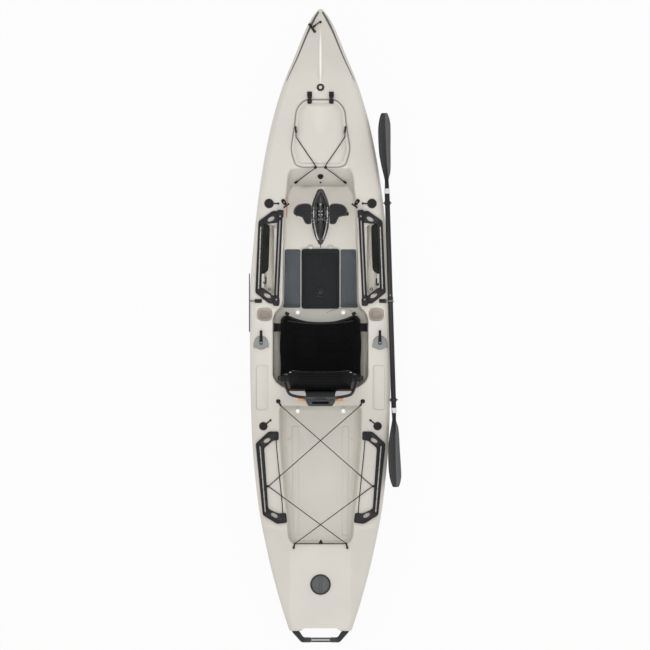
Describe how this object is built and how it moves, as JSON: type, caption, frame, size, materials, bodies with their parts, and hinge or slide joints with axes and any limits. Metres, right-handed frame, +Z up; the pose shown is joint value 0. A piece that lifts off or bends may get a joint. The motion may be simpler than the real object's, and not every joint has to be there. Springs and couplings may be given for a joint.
{
  "type": "pedal kayak",
  "caption": "Sit-on-top fishing kayak with a pedal drive and sweeping fins, framed seat, side rails, hatches, rudder and a stowed paddle.",
  "frame": {"origin": "on the flat of the keel at mid length", "axes": "+Z up, +Y towards the bow, +X to starboard"},
  "size_m": [0.9424, 3.886, 1.1647],
  "materials": {
    "hull_plastic": "satin, faintly stippled",
    "black_plastic": "satin",
    "rail_plastic": "matt",
    "lid_plastic": "matt",
    "disc_plastic": "satin",
    "grip_plastic": "matt",
    "blade_nylon": "satin",
    "foam": "matt, closed-cell foam",
    "seal_rubber": "matt",
    "fin_rubber": "matt",
    "aluminium": "brushed, anodised",
    "steel": "bright",
    "mesh_fabric": "woven mesh",
    "cord": "braided"
  },
  "bodies": {
    "boat": {"hull": "hull_plastic", "bow_hatch_seal": "seal_rubber", "bow_hatch_hinge_starboard": "black_plastic", "bow_hatch_hinge_port": "black_plastic", "deck_knob": "black_plastic", "bow_toggle": "black_plastic", "bow_toggle_cord": "cord", "drive_dock": "black_plastic", "drive_spine": "rail_plastic", "gear_bucket": "lid_plastic", "mat_starboard": "foam", "mat_port": "foam", "rail_frame_front_starboard": "rail_plastic", "rail_frame_front_port": "rail_plastic", "grab_rail_starboard": "aluminium", "grab_rail_port": "aluminium", "rail_frame_rear_starboard": "rail_plastic", "rail_frame_rear_port": "rail_plastic", "seat_frame": "rail_plastic", "seat_cushion": "mesh_fabric", "cargo_cord": "cord", "stern_hatch_ring": "black_plastic", "stern_handle": "black_plastic", "stern_grip": "grip_plastic", "paddle_rear": "blade_nylon", "drip_ring_rear": "black_plastic", "paddle_keeper_starboard": "cord", "paddle_keeper_port": "cord"},
    "bow_hatch": {"bow_hatch_lid": "hull_plastic", "bow_hatch_cord_starboard": "cord", "bow_hatch_cord_port": "cord"},
    "centre_hatch": {"centre_hatch_lid": "lid_plastic"},
    "centre_latch": {"centre_hatch_latch": "black_plastic"},
    "dock_cam_starboard": {"dock_cam_starboard": "rail_plastic"},
    "dock_cam_port": {"dock_cam_port": "rail_plastic"},
    "crank_starboard": {"crank_starboard": "aluminium"},
    "crank_port": {"crank_port": "aluminium"},
    "pedal_starboard": {"pedal_starboard": "black_plastic"},
    "pedal_port": {"pedal_port": "black_plastic"},
    "fin_mast_fore": {"fin_mast_fore": "steel"},
    "fin_mast_aft": {"fin_mast_aft": "steel"},
    "fin_fore": {"fin_fore": "fin_rubber"},
    "fin_aft": {"fin_aft": "fin_rubber"},
    "steering_lever_starboard": {"steering_lever_starboard": "disc_plastic"},
    "steering_lever_port": {"steering_lever_port": "disc_plastic"},
    "rudder_head": {"rudder_head": "black_plastic"},
    "rudder_blade": {"rudder_blade": "black_plastic"},
    "rudder_pull_starboard": {"rudder_pull_starboard": "black_plastic"},
    "rudder_pull_port": {"rudder_pull_port": "black_plastic"},
    "seat_back": {"back_frame": "rail_plastic", "back_cushion": "mesh_fabric", "carry_handle": "black_plastic"},
    "rod_cap_front_starboard": {"rod_cap_front_starboard": "black_plastic"},
    "rod_cap_front_port": {"rod_cap_front_port": "black_plastic"},
    "rod_cap_rear_starboard": {"rod_cap_rear_starboard": "black_plastic"},
    "rod_cap_rear_port": {"rod_cap_rear_port": "black_plastic"},
    "stern_hatch": {"stern_hatch_lid": "rail_plastic"},
    "mast_plug": {"mast_step_plug": "disc_plastic"},
    "paddle_half": {"paddle_front": "blade_nylon", "drip_ring_front": "black_plastic"}
  },
  "joints": [
    {"name": "bow_hatch_open", "type": "hinge", "parent": "boat", "child": "bow_hatch", "pos_m": [0, 1.40285, 0.34683], "axis": [-1, 0, 0], "range_deg": [0, 100]},
    {"name": "centre_hatch_open", "type": "hinge", "parent": "boat", "child": "centre_hatch", "pos_m": [0, 0.481, 0.1273], "axis": [-1, 0, 0], "range_deg": [0, 100]},
    {"name": "centre_latch_twist", "type": "hinge", "parent": "centre_hatch", "child": "centre_latch", "pos_m": [0, 0.204, 0.13], "axis": [0, 0, 1], "range_deg": [0, 90]},
    {"name": "dock_cam_lift_starboard", "type": "hinge", "parent": "boat", "child": "dock_cam_starboard", "pos_m": [0.058, 0.69, 0.128], "axis": [0, -1, 0], "range_deg": [0, 80]},
    {"name": "dock_cam_lift_port", "type": "hinge", "parent": "boat", "child": "dock_cam_port", "pos_m": [-0.058, 0.69, 0.128], "axis": [0, 1, 0], "range_deg": [0, 80]},
    {"name": "crank_swing_port", "type": "hinge", "parent": "boat", "child": "crank_port", "pos_m": [-0.027, 0.69, 0.15], "axis": [1, 0, 0], "range_deg": [-30, 30]},
    {"name": "crank_swing_starboard", "type": "hinge", "parent": "boat", "child": "crank_starboard", "pos_m": [0.027, 0.69, 0.15], "axis": [1, 0, 0], "range_deg": [-30, 30]},
    {"name": "pedal_tilt_starboard", "type": "hinge", "parent": "crank_starboard", "child": "pedal_starboard", "pos_m": [0.11, 0.69, 0.358], "axis": [1, 0, 0], "range_deg": [-25, 25]},
    {"name": "pedal_tilt_port", "type": "hinge", "parent": "crank_port", "child": "pedal_port", "pos_m": [-0.11, 0.69, 0.358], "axis": [1, 0, 0], "range_deg": [-25, 25]},
    {"name": "fin_sweep_fore", "type": "hinge", "parent": "boat", "child": "fin_mast_fore", "pos_m": [0, 0.72515, -0.016], "axis": [0, 1, 0], "range_deg": [-78, 78]},
    {"name": "fin_sweep_aft", "type": "hinge", "parent": "boat", "child": "fin_mast_aft", "pos_m": [0, 0.62485, -0.016], "axis": [0, 1, 0], "range_deg": [-78, 78]},
    {"name": "fin_swivel_fore", "type": "hinge", "parent": "fin_mast_fore", "child": "fin_fore", "pos_m": [0, 0.72515, -0.13], "axis": [0, 0, 1], "range_deg": [0, 180]},
    {"name": "fin_swivel_aft", "type": "hinge", "parent": "fin_mast_aft", "child": "fin_aft", "pos_m": [0, 0.62485, -0.13], "axis": [0, 0, 1], "range_deg": [0, 180]},
    {"name": "steer_starboard", "type": "hinge", "parent": "boat", "child": "steering_lever_starboard", "pos_m": [0.365, -0.107, 0.3], "axis": [0, 0, 1], "range_deg": [-35, 35]},
    {"name": "steer_port", "type": "hinge", "parent": "boat", "child": "steering_lever_port", "pos_m": [-0.365, -0.107, 0.3], "axis": [0, 0, 1], "range_deg": [-35, 35]},
    {"name": "rudder_steer", "type": "hinge", "parent": "boat", "child": "rudder_head", "pos_m": [0, -1.745, 0.1], "axis": [0, 0, 1], "range_deg": [-35, 35]},
    {"name": "rudder_kick_up", "type": "hinge", "parent": "rudder_head", "child": "rudder_blade", "pos_m": [0, -1.745, 0.028], "axis": [-1, 0, 0], "range_deg": [0, 65]},
    {"name": "rudder_pull_up", "type": "slide", "parent": "boat", "child": "rudder_pull_port", "axis": [0, 0, 1], "range_m": [0, 0.06]},
    {"name": "rudder_pull_down", "type": "slide", "parent": "boat", "child": "rudder_pull_starboard", "axis": [0, 0, 1], "range_m": [0, 0.06]},
    {"name": "seat_back_fold", "type": "hinge", "parent": "boat", "child": "seat_back", "pos_m": [0, -0.327, 0.336], "axis": [-1, 0, 0], "range_deg": [0, 70]},
    {"name": "rod_cap_lift_front_starboard", "type": "slide", "parent": "boat", "child": "rod_cap_front_starboard", "axis": [0, 0, 1], "range_m": [0, 0.03]},
    {"name": "rod_cap_lift_front_port", "type": "slide", "parent": "boat", "child": "rod_cap_front_port", "axis": [0, 0, 1], "range_m": [0, 0.03]},
    {"name": "rod_cap_lift_rear_starboard", "type": "slide", "parent": "boat", "child": "rod_cap_rear_starboard", "axis": [0, 0, 1], "range_m": [0, 0.03]},
    {"name": "rod_cap_lift_rear_port", "type": "slide", "parent": "boat", "child": "rod_cap_rear_port", "axis": [0, 0, 1], "range_m": [0, 0.03]},
    {"name": "mast_plug_lift", "type": "slide", "parent": "boat", "child": "mast_plug", "axis": [0, 0, 1], "range_m": [0, 0.04]},
    {"name": "stern_hatch_twist", "type": "hinge", "parent": "boat", "child": "stern_hatch", "pos_m": [0, -1.593, 0.296], "axis": [0, 0, 1], "range_deg": [0, 90]},
    {"name": "paddle_feather", "type": "hinge", "parent": "boat", "child": "paddle_half", "pos_m": [0.4296, 0.155, 0.318], "axis": [-0.0311, 0.9995, 0], "range_deg": [0, 60]}
  ],
  "couplings": [
    {"joint": "crank_swing_starboard", "follows": "crank_swing_port", "ratio": -1},
    {"joint": "fin_sweep_fore", "follows": "crank_swing_port", "ratio": 2.6},
    {"joint": "fin_sweep_aft", "follows": "crank_swing_port", "ratio": -2.6},
    {"joint": "fin_swivel_aft", "follows": "fin_swivel_fore", "ratio": 1},
    {"joint": "steer_port", "follows": "steer_starboard", "ratio": 1},
    {"joint": "rudder_steer", "follows": "steer_starboard", "ratio": 1},
    {"joint": "rudder_pull_up", "follows": "rudder_kick_up", "m_per_rad": 0.0528}
  ]
}
